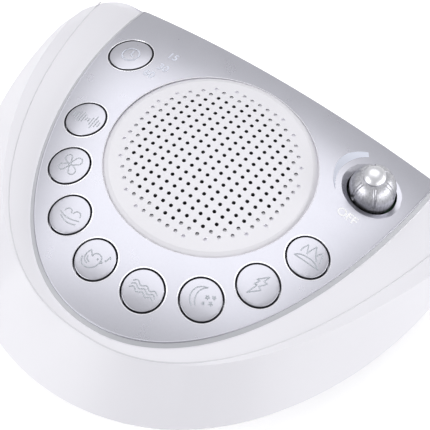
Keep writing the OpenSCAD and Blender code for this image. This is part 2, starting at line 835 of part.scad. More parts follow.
module speaker_frame() {
    lip = mouth_radius - 2;
    back = basket_depth + flange_plate;
    color(steel) translate([0, grille_y, speaker_top - back]) difference() {
        rotate_extrude() polygon([
            [magnet_radius / 2, 0],
            [basket_back_radius, 0],
            [lip + 1.2, basket_depth],
            [speaker_radius, basket_depth],
            [speaker_radius, back],
            [lip, back],
            [lip, basket_depth + 0.2],
            [basket_back_radius - 1, 1.2],
            [magnet_radius / 2, 1.2]
        ]);
        // Windows of the basket.
        for (a = [0:60:300])
            rotate([0, 0, a]) translate([basket_back_radius, -4.5, 2.2])
                cube([12, 9, basket_depth - 4.4]);
        for (a = [45:90:315])
            translate([speaker_screw_circle * cos(a), speaker_screw_circle * sin(a), 0])
                cylinder(r = small_screw_radius + screw_gap, h = back + 1);
    }
}

module speaker_cone() {
    rim = mouth_radius - 2.4;
    voice = 6;
    depth = basket_depth - 3;
    color(dark) translate([0, grille_y, speaker_top - flange_plate - depth]) {
        rotate_extrude() polygon([
            [voice, 0], [rim - 1, depth + 0.4], [rim, depth + 0.4],
            [rim, depth + 1], [rim - 1.4, depth + 1], [voice, 0.8]
        ]);
        // Dust cap and voice coil.
        rotate_extrude() intersection() {
            square([voice + 1.2, 6]);
            difference() {
                translate([0, -6]) circle(r = 9.4);
                translate([0, -6]) circle(r = 8.8);
            }
        }
        translate([0, 0, -1.4]) difference() {
            cylinder(r = voice + 0.3, h = 2);
            translate([0, 0, -1]) cylinder(r = voice - 0.3, h = 4);
        }
    }
}

module speaker_magnet() {
    top = speaker_top - flange_plate - basket_depth;
    color(steel) translate([0, grille_y, top - magnet_thickness])
        cylinder(r = magnet_radius, h = magnet_thickness);
}

// ---- board ----

module main_board() {
    color(green) translate([0, 0, board_top - board_thickness]) difference() {
        translate([0, grille_y, 0]) cylinder(r = board_radius, h = board_thickness, $fn = 128);
        translate([0, grille_y, -1]) cylinder(r = board_opening, h = board_thickness + 2);
        translate([-far / 2, board_back, -1]) cube([far, far, board_thickness + 2]);
        for (p = board_screw_all)
            translate([p[0], p[1], -1])
                cylinder(r = small_screw_radius + screw_gap, h = board_thickness + 2);
    }
}

module tact_switches() {
    color(dark) for (b = all_buttons)
        translate([b[0][0], b[0][1], board_top]) {
            translate([-switch_width / 2, -switch_width / 2, 0])
                cube([switch_width, switch_width, switch_height]);
            cylinder(r = plunger_radius, h = switch_height + plunger_height);
        }
}

// ---- inlet, feet and screws ----

module power_inlet() {
    bore_depth = 9;
    color(dark) translate([inlet_x, inlet_face, inlet_height]) difference() {
        union() {
            translate([-inlet_case / 2, -inlet_length, -inlet_case / 2])
                cube([inlet_case, inlet_length - wall - 0.6, inlet_case]);
            rotate([90, 0, 0]) cylinder(r = inlet_nose, h = inlet_length - 1);
        }
        rotate([90, 0, 0]) difference() {
            translate([0, 0, -1]) cylinder(r = inlet_bore, h = bore_depth + 1);
            translate([0, 0, 1]) cylinder(r = inlet_pin, h = bore_depth);
        }
    }
}

module rubber_feet() {
    color(dark) for (p = mirrored(foot_places))
        translate([p[0], p[1], 0]) {
            cylinder(r1 = foot_radius - 0.4, r2 = foot_radius, h = 0.4);
            translate([0, 0, 0.4]) cylinder(r = foot_radius, h = foot_height - 0.4);
        }
}

// A pan head with its top at z = 0 and the shank above it.
module screw(radius, head, head_height, length) {
    cylinder(r = head, h = head_height);
    cylinder(r = radius, h = head_height + length);
}

module housing_screws() {
    color(steel) for (p = housing_screw_all)
        translate([p[0], p[1], floor_height + head_depth - head_height])
            screw(screw_radius, head_radius, head_height,
                boss_top(p) - 1.3 - floor_height - head_depth);
}

module panel_screws() {
    color(steel) for (p = panel_screw_all)
        translate([p[0], p[1], ledge_under(p) - small_head_height])
            screw(small_screw_radius, panel_head_radius, small_head_height,
                panel_screw_grip - 0.3);
}

module board_screws() {
    color(steel) for (p = board_screw_all)
        translate([p[0], p[1], board_top - board_thickness - small_head_height])
            screw(small_screw_radius, small_head_radius, small_head_height,
                board_thickness + board_screw_grip - 1);
}

module speaker_screws() {
    color(steel) for (a = [45:90:315])
        translate([
            speaker_screw_circle * cos(a), grille_y + speaker_screw_circle * sin(a),
            speaker_top - flange_plate - small_head_height
        ]) screw(small_screw_radius, small_head_radius, small_head_height,
            flange_plate + speaker_screw_grip - 0.4);
}

top_housing();
bottom_housing();
face_panel();
speaker_grille();
grille_cloth();
button_noise();
button_rain();
button_stream();
button_bird();
button_waves();
button_night();
button_storm();
button_fire();
timer_button();
volume_knob();
control_shaft();
volume_control();
speaker_frame();
speaker_cone();
speaker_magnet();
main_board();
tact_switches();
power_inlet();
rubber_feet();
housing_screws();
panel_screws();
board_screws();
speaker_screws();
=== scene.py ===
import math

import bpy
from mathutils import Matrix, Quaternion, Vector


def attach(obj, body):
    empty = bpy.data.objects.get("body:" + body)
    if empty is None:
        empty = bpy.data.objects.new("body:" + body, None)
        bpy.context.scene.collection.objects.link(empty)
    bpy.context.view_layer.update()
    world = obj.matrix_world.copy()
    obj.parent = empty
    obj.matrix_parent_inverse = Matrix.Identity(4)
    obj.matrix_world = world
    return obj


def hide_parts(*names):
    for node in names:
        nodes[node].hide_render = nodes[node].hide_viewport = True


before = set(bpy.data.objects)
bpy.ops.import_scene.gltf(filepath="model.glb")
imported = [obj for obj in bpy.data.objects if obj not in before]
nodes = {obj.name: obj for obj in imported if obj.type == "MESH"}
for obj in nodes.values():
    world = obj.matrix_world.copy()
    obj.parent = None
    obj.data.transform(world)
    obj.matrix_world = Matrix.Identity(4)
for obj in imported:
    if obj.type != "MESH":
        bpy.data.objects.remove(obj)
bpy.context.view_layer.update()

mm = 0.001

# The face's dome, in millimetres: height above the table at any place
dome = {"y": 20.8, "height": 39.7, "slope": 0.07325994, "long": 0.00313424,
        "nose": 5.509123e-06, "cross": 0.002805556, "spread": 9.757375e-06}


def domeHeight(x, y):
    u = y - dome["y"]
    return (dome["height"] - dome["slope"] * u - dome["long"] * u * u - dome["nose"] * u ** 3
            - dome["cross"] * x * x + dome["spread"] * u * x * x)


def domeNormal(x, y, step=0.5):
    gx = (domeHeight(x + step, y) - domeHeight(x - step, y)) / (2 * step)
    gy = (domeHeight(x, y + step) - domeHeight(x, y - step)) / (2 * step)
    return Vector((-gx, -gy, 1)).normalized()


# Keys: place, radius and the body that each rides on
keys = {
    "button_noise": {"at": (-42.8, 11.7), "radius": 6.45, "body": "noise_key"},
    "button_rain": {"at": (-36.1, -5.2), "radius": 6.45, "body": "rain_key"},
    "button_stream": {"at": (-25, -19.2), "radius": 6.45, "body": "stream_key"},
    "button_bird": {"at": (-9, -27.1), "radius": 6.45, "body": "bird_key"},
    "button_waves": {"at": (9, -27.1), "radius": 6.45, "body": "waves_key"},
    "button_night": {"at": (25, -19.2), "radius": 6.45, "body": "night_key"},
    "button_storm": {"at": (36.1, -5.2), "radius": 6.45, "body": "storm_key"},
    "button_fire": {"at": (42.8, 11.7), "radius": 6.45, "body": "fire_key"},
    "timer_button": {"at": (-47.8, 42.1), "radius": 7.05, "body": "timer_key"},
}
# Key caps: gap to the hole, rise and radius of the domed top, rounded edge in its steps and shape,
# and how near to the top's rim an edge has to lie to be rounded
keyCap = {"gap": 0.6, "rise": 0.45, "crown": 60.0, "edge": 0.22, "edgeSteps": 3, "edgeShape": 0.6,
          "nearRim": 0.03, "nearTop": 0.05, "angle": 35}
knobPlace = (45.15, 45.0)
grillePlace = (0, dome["y"])


def flatDistance(point, place):
    return math.hypot(point.x - place[0], point.y - place[1])


def capHeight(place):
    # The height of a key's domed top at any place
    px, py = place
    middle = Vector((px, py, domeHeight(px, py) + keyCap["rise"]))
    centre = middle - domeNormal(px, py) * keyCap["crown"]

    def height(x, y):
        flat = (x - centre.x) ** 2 + (y - centre.y) ** 2
        return centre.z + math.sqrt(keyCap["crown"] ** 2 - flat)
    return height


def deselectAll():
    if bpy.context.object and bpy.context.object.mode != "OBJECT":
        bpy.ops.object.mode_set(mode="OBJECT")
    bpy.ops.object.select_all(action="DESELECT")


def makeActive(obj):
    deselectAll()
    obj.select_set(True)
    bpy.context.view_layer.objects.active = obj


def seat(obj):
    # Writes the object's place into its mesh
    makeActive(obj)
    bpy.ops.object.transform_apply(location=True, rotation=True, scale=True)


def giveFinishes(obj, *names):
    obj.data.materials.clear()
    for name in names:
        obj.data.materials.append(paints[name])


def finishPiece(obj, name, body, finish=None):
    obj.name = name
    obj.data.name = name
    if finish:
        giveFinishes(obj, finish)
    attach(obj, body)


# Distances in metres below which points merge and slivers are dissolved
weld = {"merge": 2e-6, "sliver": 1e-5}


def copyNode(node, name):
    # A welded copy of a CAD node's loose triangles
    obj = nodes[node].copy()
    obj.data = nodes[node].data.copy()
    obj.parent = None
    for key in list(obj.keys()):
        del obj[key]
    obj.name = name
    bpy.context.scene.collection.objects.link(obj)
    makeActive(obj)
    bpy.ops.object.mode_set(mode="EDIT")
    bpy.ops.mesh.select_all(action="SELECT")
    bpy.ops.mesh.remove_doubles(threshold=weld["merge"])
    bpy.ops.mesh.dissolve_degenerate(threshold=weld["sliver"])
    bpy.ops.object.mode_set(mode="OBJECT")
    if obj.data.has_custom_normals:
        bpy.ops.mesh.customdata_custom_splitnormals_clear()
    return obj


def smoothByAngle(obj, degrees):
    makeActive(obj)
    bpy.ops.object.shade_smooth_by_angle(angle=math.radians(degrees))


# Grain, flake and streak are scales of a pattern: a larger number makes it finer
finishes = {
    "whitePlastic": {"color": (0.845, 0.836, 0.888), "rough": 0.34, "grain": 900, "bump": 0.04},
    "grillePlastic": {"color": (0.872, 0.862, 0.91), "rough": 0.42, "grain": 1100, "bump": 0.03},
    "grilleEdge": {"color": (0.81, 0.80, 0.845), "rough": 0.42, "grain": 1100, "bump": 0.03},
    "silverPaint": {"color": (0.37, 0.37, 0.411), "rough": 0.28, "metal": 0.9, "flake": 5200},
    "keyPaint": {"color": (0.36, 0.36, 0.40), "rough": 0.28, "metal": 0.9, "flake": 5200},
    # Painted shade: a darker white for the line along the housing's crease
    "paintedCreaseShade": {"color": (0.72, 0.715, 0.76), "rough": 0.4, "grain": 900, "bump": 0.04},
    # Painted shade: a silver darker than the panel, for a dark line along the bevel's inner edge
    "paintedEdgeShade": {"color": (0.30, 0.30, 0.335), "rough": 0.28, "metal": 0.9, "flake": 5200},
    "edgePaint": {"color": (0.50, 0.505, 0.54), "rough": 0.42, "grain": 1600, "bump": 0.04},
    "knobChrome": {"color": (0.36, 0.36, 0.385), "rough": 0.36, "metal": 0.98,
                   "streak": (2300, 2300, 60)},
    "knobCap": {"color": (0.50, 0.50, 0.525), "rough": 0.36, "metal": 0.9, "flake": 9000},
    "bezelChrome": {"color": (0.74, 0.74, 0.78), "rough": 0.24, "metal": 0.95, "flake": 9000},
    # Painted shade: a dark colour on the walls of the grille's through holes
    "paintedHoleShade": {"color": (0.16, 0.16, 0.17), "rough": 0.5, "grain": 1400, "bump": 0.05},
    "steel": {"color": (0.52, 0.52, 0.54), "rough": 0.3, "metal": 1.0, "flake": 3000},
    # Black plastic, also painted on the walls round the keys and the knob as painted shade in the
    # gaps
    "blackPlasticAndGapShade": {"color": (0.012, 0.012, 0.014), "rough": 0.45, "grain": 1400, "bump": 0.1},
    "footRubber": {"color": (0.03, 0.03, 0.032), "rough": 0.8, "grain": 2200, "bump": 0.25},
    "ferrite": {"color": (0.035, 0.034, 0.036), "rough": 0.6, "grain": 1800, "bump": 0.2},
    "boardGreen": {"color": (0.015, 0.12, 0.045), "rough": 0.35, "grain": 700, "bump": 0.08},
    "paperCone": {"color": (0.03, 0.03, 0.03), "rough": 0.85, "grain": 1500, "bump": 0.4},
    "markInk": {"color": (0.53, 0.565, 0.62), "rough": 0.5, "grain": 2500, "bump": 0.05},
    "faintInk": {"color": (0.58, 0.61, 0.66), "rough": 0.5, "grain": 2500, "bump": 0.05},
    "paleInk": {"color": (0.74, 0.77, 0.88), "rough": 0.5, "grain": 2500, "bump": 0.05},
    "whiteInk": {"color": (0.985, 0.985, 0.99), "rough": 0.5, "grain": 2500, "bump": 0.05},
}


def newMaterial(name):
    material = bpy.data.materials.new(name)
    material.use_nodes = True
    tree = material.node_tree
    tree.nodes.clear()
    out = tree.nodes.new("ShaderNodeOutputMaterial")
    shader = tree.nodes.new("ShaderNodeBsdfPrincipled")
    tree.links.new(shader.outputs["BSDF"], out.inputs["Surface"])
    place = tree.nodes.new("ShaderNodeTexCoord")
    return material, tree, shader, place.outputs["Object"]


def addNoise(tree, place, scale, detail, rough=0.5):
    noise = tree.nodes.new("ShaderNodeTexNoise")
    noise.inputs["Scale"].default_value = scale
    noise.inputs["Detail"].default_value = detail
    noise.inputs["Roughness"].default_value = rough
    tree.links.new(place, noise.inputs["Vector"])
    return noise.outputs["Fac"]


def addMath(tree, operation, *values):
    node = tree.nodes.new("ShaderNodeMath")
    node.operation = operation
    for value, place in zip(values, node.inputs):
        tree.links.new(value, place)
    return node.outputs["Value"]


def addRamp(tree, value, low, high, colors):
    ramp = tree.nodes.new("ShaderNodeValToRGB")
    ramp.color_ramp.elements[0].position = low
    ramp.color_ramp.elements[1].position = high
    for element, color in zip(ramp.color_ramp.elements, colors):
        element.color = (*color, 1)
    tree.links.new(value, ramp.inputs["Fac"])
    return ramp.outputs["Color"]


def addRange(tree, value, low, high, start=0.0, end=1.0):
    remap = tree.nodes.new("ShaderNodeMapRange")
    remap.inputs["From Min"].default_value = start
    remap.inputs["From Max"].default_value = end
    remap.inputs["To Min"].default_value = low
    remap.inputs["To Max"].default_value = high
    tree.links.new(value, remap.inputs["Value"])
    return remap.outputs["Result"]


def addBump(tree, height, shader, strength, distance):
    bump = tree.nodes.new("ShaderNodeBump")
    bump.inputs["Strength"].default_value = strength
    bump.inputs["Distance"].default_value = distance
    tree.links.new(height, bump.inputs["Height"])
    tree.links.new(bump.outputs["Normal"], shader.inputs["Normal"])


def setTone(tree, value, shader, color, band, tones):
    # A pattern varies the colour between two factors
    colors = [[min(1.0, c * tone) for c in color] for tone in tones]
    tree.links.new(addRamp(tree, value, *band, colors), shader.inputs["Base Color"])


def setGloss(tree, value, shader, rough, spread):
    low, high = spread
    tree.links.new(addRange(tree, value, rough + low, rough + high), shader.inputs["Roughness"])


# Drift, wear, cloud and threads are scales of a pattern, tones are factors on the colour, gloss
# is added to the roughness and deep is the depth of the bumps in metres
plasticLook = {"drift": 18, "band": (0.3, 0.7), "tones": (0.985, 1.012), "wear": 220,
               "gloss": (-0.05, 0.06), "deep": 0.0002, "ior": 1.49}


def mouldedPlastic(name):
    # Moulded plastic: a slow drift of tone, as the melt flowed, and a fine orange peel
    look = finishes[name]
    material, tree, shader, place = newMaterial(name)
    drift = addNoise(tree, place, plasticLook["drift"], 2)
    setTone(tree, drift, shader, look["color"], plasticLook["band"], plasticLook["tones"])
    wear = addNoise(tree, place, plasticLook["wear"], 4)
    setGloss(tree, wear, shader, look["rough"], plasticLook["gloss"])
    peel = addNoise(tree, place, look["grain"], 3)
    addBump(tree, peel, shader, look["bump"], plasticLook["deep"])
    shader.inputs["IOR"].default_value = plasticLook["ior"]
    return material


paintLook = {"tones": (0.98, 1.02), "cloud": 140, "gloss": (-0.03, 0.04), "bump": 0.05,
             "deep": 0.00005}


def metallicPaint(name):
    # Metallic paint: flakes vary the tone, and a slow cloud varies gloss and surface
    look = finishes[name]
    material, tree, shader, place = newMaterial(name)
    flake = tree.nodes.new("ShaderNodeTexVoronoi")
    flake.inputs["Scale"].default_value = look["flake"]
    tree.links.new(place, flake.inputs["Vector"])
    spread = tree.nodes.new("ShaderNodeSeparateColor")
    tree.links.new(flake.outputs["Color"], spread.inputs["Color"])
    setTone(tree, spread.outputs["Red"], shader, look["color"], (0.0, 1.0), paintLook["tones"])
    cloud = addNoise(tree, place, paintLook["cloud"], 4)
    setGloss(tree, cloud, shader, look["rough"], paintLook["gloss"])
    addBump(tree, cloud, shader, paintLook["bump"], paintLook["deep"])
    shader.inputs["Metallic"].default_value = look["metal"]
    return material


clothLook = {"threads": 700, "bend": 0.6, "band": (0.2, 0.9), "rough": 0.95, "bump": 0.6,
             "deep": 0.0002, "colors": [(0.004, 0.004, 0.005), (0.02, 0.02, 0.022)]}


def wovenCloth(name):
    # Acoustic cloth: two crossed sets of threads
    material, tree, shader, place = newMaterial(name)
    threads = []
    for direction in ("X", "Y"):
        wave = tree.nodes.new("ShaderNodeTexWave")
        wave.bands_direction = direction
        wave.inputs["Scale"].default_value = clothLook["threads"]
        wave.inputs["Distortion"].default_value = clothLook["bend"]
        tree.links.new(place, wave.inputs["Vector"])
        threads.append(wave.outputs["Fac"])
    weave = addMath(tree, "MAXIMUM", *threads)
    tone = addRamp(tree, weave, *clothLook["band"], clothLook["colors"])
    tree.links.new(tone, shader.inputs["Base Color"])
    addBump(tree, weave, shader, clothLook["bump"], clothLook["deep"])
    shader.inputs["Roughness"].default_value = clothLook["rough"]
    return material


grainAndReflectionLook = {"band": (0.3, 0.7), "tones": (0.74, 1.26), "gloss": (-0.05, 0.05), "bump": 0.2,
             "deep": 0.0001}


def grainAndReflectionMetal(name):
    # Turned metal: fine streaks that run along the axis, partly its grain and partly painted
    # reflection streaks of the flutes
    look = finishes[name]
    material, tree, shader, place = newMaterial(name)
    stretch = tree.nodes.new("ShaderNodeMapping")
    stretch.inputs["Scale"].default_value = look["streak"]
    tree.links.new(place, stretch.inputs["Vector"])
    streak = addNoise(tree, stretch.outputs["Vector"], 1, 3, 0.6)
    # Painted reflection: besides the grain, the tone streaks stand in for light and dark
    # reflections in the flutes
    setTone(tree, streak, shader, look["color"], grainAndReflectionLook["band"], grainAndReflectionLook["tones"])
    setGloss(tree, streak, shader, look["rough"], grainAndReflectionLook["gloss"])
    addBump(tree, streak, shader, grainAndReflectionLook["bump"], grainAndReflectionLook["deep"])
    shader.inputs["Metallic"].default_value = look["metal"]
    return material


def makePaint(name, look):
    if "streak" in look:
        return grainAndReflectionMetal(name)
    return metallicPaint(name) if "metal" in look else mouldedPlastic(name)


paints = {name: makePaint(name, look) for name, look in finishes.items()}
paints["blackCloth"] = wovenCloth("blackCloth")
print("materials ready")

# Nodes shown as the CAD has them
nodeFinish = {
    "grille_cloth": "blackCloth", "control_shaft": "steel", "volume_control": "blackPlasticAndGapShade",
    "speaker_frame": "steel", "speaker_cone": "paperCone", "speaker_magnet": "ferrite",
    "main_board": "boardGreen", "tact_switches": "blackPlasticAndGapShade", "power_inlet": "blackPlasticAndGapShade",
    "rubber_feet": "footRubber", "housing_screws": "steel", "panel_screws": "steel",
    "board_screws": "steel", "speaker_screws": "steel",
}
for node, finish in nodeFinish.items():
    giveFinishes(nodes[node], finish)

# Angles in degrees over which an edge stays sharp
housing = {"topAngle": 14, "bottomAngle": 32}


def makeHousings():
    top = copyNode("top_housing", "topHousingSkin")
    smoothByAngle(top, housing["topAngle"])
    finishPiece(top, "topHousingSkin", "body", "whitePlastic")
    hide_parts("top_housing")
    bottom = copyNode("bottom_housing", "bottomHousingSkin")
    smoothByAngle(bottom, housing["bottomAngle"])
    finishPiece(bottom, "bottomHousingSkin", "body", "whitePlastic")
    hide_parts("bottom_housing")


makeHousings()

# Plugs close the rear screw pockets where they come out through the sloping back wall
plug = {"x": 20.0, "half": 1.6, "low": 24.9, "high": 26.9, "back": 63.356, "proud": 0.015,
        "slope": 0.161, "deep": 0.5}


def makePlugs():
    for side, name in ((-1, "backPlugLeft"), (1, "backPlugRight")):
        deselectAll()
        bpy.ops.mesh.primitive_cube_add(size=2)
        obj = bpy.context.object
        for v in obj.data.vertices:
            x = side * plug["x"] + plug["half"] * v.co.x
            z = plug["high"] if v.co.z > 0 else plug["low"]
            wall = plug["back"] + plug["proud"] - (z - plug["low"]) * plug["slope"]
            y = wall - (0 if v.co.y > 0 else plug["deep"])
            v.co = Vector((x, y, z)) * mm
        finishPiece(obj, name, "body", "whitePlastic")


makePlugs()
print("housings ready")

# Slopes are the upward part of a face's normal, or how far it agrees with the dome's own;
# drops are millimetres below the dome
facePanel = {
    "angle": 20,
    "finishes": ("silverPaint", "blackPlasticAndGapShade", "edgePaint", "grillePlastic"),
    "hole": {"slope": 0.3, "reach": 0.3, "knob": 9},
    "seat": {"from": 31.0, "to": 34.8, "drop": 0.6, "wallDrop": 0.05, "slope": 0.6},
    "dome": {"slope": 0.2, "drop": 0.02, "nearDrop": 0.35, "along": 0.985},
    "bevel": {"slope": 0.3, "drop": 1.2, "along": 0.6, "knob": 11},
}


def isHoleWall(centre, normal):
    # The walls round the keys and the knob, painted black as painted shade in the gaps
    hole = facePanel["hole"]
    if abs(normal.z) >= hole["slope"]:
        return False
    reach = keyCap["gap"] + hole["reach"]
    return flatDistance(centre, knobPlace) < hole["knob"] or any(
        flatDistance(centre, key["at"]) < key["radius"] + reach for key in keys.values())


def isGrilleSeat(centre, normal, lift):
    ring = facePanel["seat"]
    if not ring["from"] < flatDistance(centre, grillePlace) < ring["to"]:
        return False
    return lift < -ring["drop"] or (lift < -ring["wallDrop"] and abs(normal.z) < ring["slope"])


def isDome(normal, lift, along):
    top = facePanel["dome"]
    if normal.z <= top["slope"]:
        return False
    return lift > -top["drop"] or (lift > -top["nearDrop"] and along > top["along"])


def isBevel(centre, normal, lift, along):
    bevel = facePanel["bevel"]
    return (normal.z > bevel["slope"] and lift > -bevel["drop"] and along > bevel["along"]
            and flatDistance(centre, knobPlace) > bevel["knob"])


def makeFacePanel():
    panel = copyNode("face_panel", "facePanelSkin")
    smoothByAngle(panel, facePanel["angle"])
    giveFinishes(panel, *facePanel["finishes"])
    paint, gapShade, edge, pale = range(len(facePanel["finishes"]))
    mesh = panel.data
    normals = [n.vector.copy() for n in mesh.corner_normals]
    for face in mesh.polygons:
        centre, normal = face.center / mm, face.normal
        lift = centre.z - domeHeight(centre.x, centre.y)
        along = normal.dot(domeNormal(centre.x, centre.y))
        face.material_index = paint
        # Painted shade: the walls of the gaps round the keys and the knob are painted black
        if isHoleWall(centre, normal):
            face.material_index = gapShade
        if isGrilleSeat(centre, normal, lift):
            face.material_index = pale
        if isDome(normal, lift, along):
            # The dome's own slope shades its triangles
            for loop in face.loop_indices:
                v = mesh.vertices[mesh.loops[loop].vertex_index].co / mm
                normals[loop] = domeNormal(v.x, v.y)
        elif isBevel(centre, normal, lift, along):
            face.material_index = edge
    mesh.normals_split_custom_set(normals)
    finishPiece(panel, "facePanelSkin", "body")
    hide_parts("face_panel")


makeFacePanel()

# Thin beads: a pale one closes the joint between the panel's bevel and the rim, one rounds the
# bevel's inner edge and is painted darker than the panel as a painted shade line, one follows the
# crease of the housing in a darker white as painted shade along the crease, and one the seat of the
# grille.
# Each bead follows a superellipse through "side" and "front", or a circle round the grille, and
# lies below the dome by its drop, unless three places with heights of their own are given.
beadLook = {"steps": 121, "roundness": 3, "angle": 70}
panelLine = {"mid": 59.35, "power": 2.09, "last": 92}
creasePath = {"mid": 105.8, "power": 2.255, "last": 74.9}
beads = {
    "panelBead": {"line": panelLine, "side": 60.12, "front": -44.82, "drop": 1.16,
                  "radius": 0.24, "slot": "white_plastic", "finish": "whitePlastic"},
    # Painted shade: the bead on the bevel's inner edge is darker than the panel
    "panelEdge": {"line": panelLine, "side": 58.45, "front": -43.15, "drop": 0.3,
                  "radius": 0.36, "slot": "silver_paint", "finish": "paintedEdgeShade"},
    # Painted shade: a darker white line along the crease
    "creaseLine": {"line": creasePath, "side": 76.8, "front": -47.4, "drop": 0.14,
                   "heights": [(-47.4, 31.9), (20.8, 29.2), (59.5, 20.2)],
                   "radius": 0.24, "slot": "white_plastic", "finish": "paintedCreaseShade"},
    "grilleSeat": {"circle": 34.1, "drop": 0.2,
                   "radius": 0.16, "slot": "grille_plastic", "finish": "grilleEdge"},
}


def arcHeight(y, heights):
    # A parabola through three points
    height = 0
    for i, (yi, zi) in enumerate(heights):
        share = zi
        for j, (yj, _) in enumerate(heights):
            share *= (y - yj) / (yi - yj) if j != i else 1
        height += share
    return height


def signedPower(value, power):
    return math.copysign(abs(value) ** power, value)


def beadPoints(bead):
    points = []
    for i in range(beadLook["steps"]):
        share = 2 * i / (beadLook["steps"] - 1) - 1
        if "circle" in bead:
            turn = math.radians(180 * share)
            x, y = bead["circle"] * math.sin(turn), dome["y"] + bead["circle"] * math.cos(turn)
        else:
            line = bead["line"]
            turn = math.radians(line["last"] * share)
            power = 2 / line["power"]
            x = bead["side"] * signedPower(math.sin(turn), power)
            y = line["mid"] - (line["mid"] - bead["front"]) * signedPower(math.cos(turn), power)
        z = arcHeight(y, bead["heights"]) if "heights" in bead else domeHeight(x, y)
        points.append((x * mm, y * mm, (z - bead["drop"]) * mm, 1))
    return points


def newCurve(name, radius, roundness):
    curve = bpy.data.curves.new(name, "CURVE")
    curve.dimensions = "3D"
    curve.bevel_depth = radius * mm
    curve.bevel_resolution = roundness
    return curve


def meshOf(curve):
    # A new object with the curve's tube as its mesh
    obj = bpy.data.objects.new(curve.name, curve)
    bpy.context.scene.collection.objects.link(obj)
    makeActive(obj)
    bpy.ops.object.convert(target="MESH")
    return bpy.context.object


def makeBeads():
    for name, bead in beads.items():
        curve = newCurve(name, bead["radius"], beadLook["roundness"])
        spline = curve.splines.new("POLY")
        points = beadPoints(bead)
        spline.points.add(len(points) - 1)
        for target, point in zip(spline.points, points):
            target.co = point
        obj = meshOf(curve)
        smoothByAngle(obj, beadLook["angle"])
        finishPiece(obj, name, "body", bead["finish"])


makeBeads()
print("face panel ready")

# Holes are the steep faces inside the field, and their walls are painted dark as painted shade; the
# edge is what lies outside its own radius
grille = {"angle": 12, "steep": 0.6, "field": 27.5, "edge": 32.0}


def makeGrille():
    skin = copyNode("speaker_grille", "grilleSkin")
    smoothByAngle(skin, grille["angle"])
    giveFinishes(skin, "grillePlastic", "paintedHoleShade", "grilleEdge")
    for face in skin.data.polygons:
        out = flatDistance(face.center / mm, grillePlace)
        # Painted shade: the walls of the through holes are painted dark
        if abs(face.normal.z) < grille["steep"] and out < grille["field"]:
            face.material_index = 1
        elif out > grille["edge"]:
            face.material_index = 2
    finishPiece(skin, "grilleSkin", "body")
    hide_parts("speaker_grille")


makeGrille()
print("grille ready")

# The cap is what lies inside its radius and above its height over the dome
knob = {"angle": 28, "capRadius": 3.75, "capAbove": 8.6}


def makeKnob():
    skin = copyNode("volume_knob", "volumeKnobSkin")
    smoothByAngle(skin, knob["angle"])
    giveFinishes(skin, "knobChrome", "knobCap")
    low = domeHeight(*knobPlace) + knob["capAbove"]
    for face in skin.data.polygons:
        centre = face.center / mm
        if centre.z > low and flatDistance(centre, knobPlace) < knob["capRadius"]:
            face.material_index = 1
    finishPiece(skin, "volumeKnobSkin", "knob")
    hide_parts("volume_knob")


makeKnob()
print("knob ready")


def isTopRim(point, key, top):
    return (abs(flatDistance(point, key["at"]) - key["radius"]) < keyCap["nearRim"]
            and abs(point.z - top(point.x, point.y)) < keyCap["nearTop"])


def makeKeyCaps():
    for node, key in keys.items():
        cap = copyNode(node, node + "_cap")
        top = capHeight(key["at"])
        makeActive(cap)
        bpy.ops.object.mode_set(mode="EDIT")
        bpy.ops.mesh.select_all(action="DESELECT")
        bpy.ops.mesh.select_mode(type="EDGE")
        bpy.ops.object.mode_set(mode="OBJECT")
        for edge in cap.data.edges:
            ends = [cap.data.vertices[i].co / mm for i in edge.vertices]
            edge.select = all(isTopRim(end, key, top) for end in ends)
        bpy.ops.object.mode_set(mode="EDIT")
        bpy.ops.mesh.bevel(offset=keyCap["edge"] * mm, segments=keyCap["edgeSteps"],
                           profile=keyCap["edgeShape"])
        bpy.ops.object.mode_set(mode="OBJECT")
        smoothByAngle(cap, keyCap["angle"])
        finishPiece(cap, node + "_cap", key["body"], "keyPaint")
        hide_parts(node)


makeKeyCaps()
print("key caps ready")

# Bezel rings, from the hole outwards: share of the width and height over the dome
bezel = {"width": 0.34, "steps": 72, "angle": 60,
         "rings": [(0.0, -0.12), (0.35, 0.05), (1.0, 0.004)]}


def bezelLift(share):
    return min(bezel["rings"], key=lambda ring: abs(ring[0] - share))[1]


def makeBezel(place, inner):
    # A thin ring: a circle, extruded outwards, then lifted on to the dome
    cx, cy = place
    deselectAll()
    bpy.ops.mesh.primitive_circle_add(vertices=bezel["steps"], radius=inner * mm,
                                      location=(cx * mm, cy * mm, 0))
    ring = bpy.context.object
    seat(ring)
    bpy.ops.object.mode_set(mode="EDIT")
    bpy.ops.mesh.select_all(action="SELECT")
    for share, _ in bezel["rings"][1:]:
        bpy.ops.mesh.extrude_edges_move()
        bpy.ops.object.mode_set(mode="OBJECT")
        for v in ring.data.vertices:
            if v.select:
                away = Vector((v.co.x - cx * mm, v.co.y - cy * mm))
                away = away.normalized() * (inner + bezel["width"] * share) * mm
                v.co.x, v.co.y = cx * mm + away.x, cy * mm + away.y
        bpy.ops.object.mode_set(mode="EDIT")
    bpy.ops.object.mode_set(mode="OBJECT")
    for v in ring.data.vertices:
        x, y = v.co.x / mm, v.co.y / mm
        share = (math.hypot(x - cx, y - cy) - inner) / bezel["width"]
        v.co.z = (domeHeight(x, y) + bezelLift(share)) * mm
    makeActive(ring)
    bpy.ops.object.mode_set(mode="EDIT")
    bpy.ops.mesh.select_all(action="SELECT")
    bpy.ops.mesh.normals_make_consistent(inside=False)
    bpy.ops.object.mode_set(mode="OBJECT")
    if sum(face.normal.z for face in ring.data.polygons) < 0:
        ring.data.flip_normals()
    smoothByAngle(ring, bezel["angle"])
    return ring


def makeBezels():
    for node, key in keys.items():
        ring = makeBezel(key["at"], key["radius"] + keyCap["gap"])
        finishPiece(ring, node + "_bezel", "body", "bezelChrome")


makeBezels()
print("bezels ready")

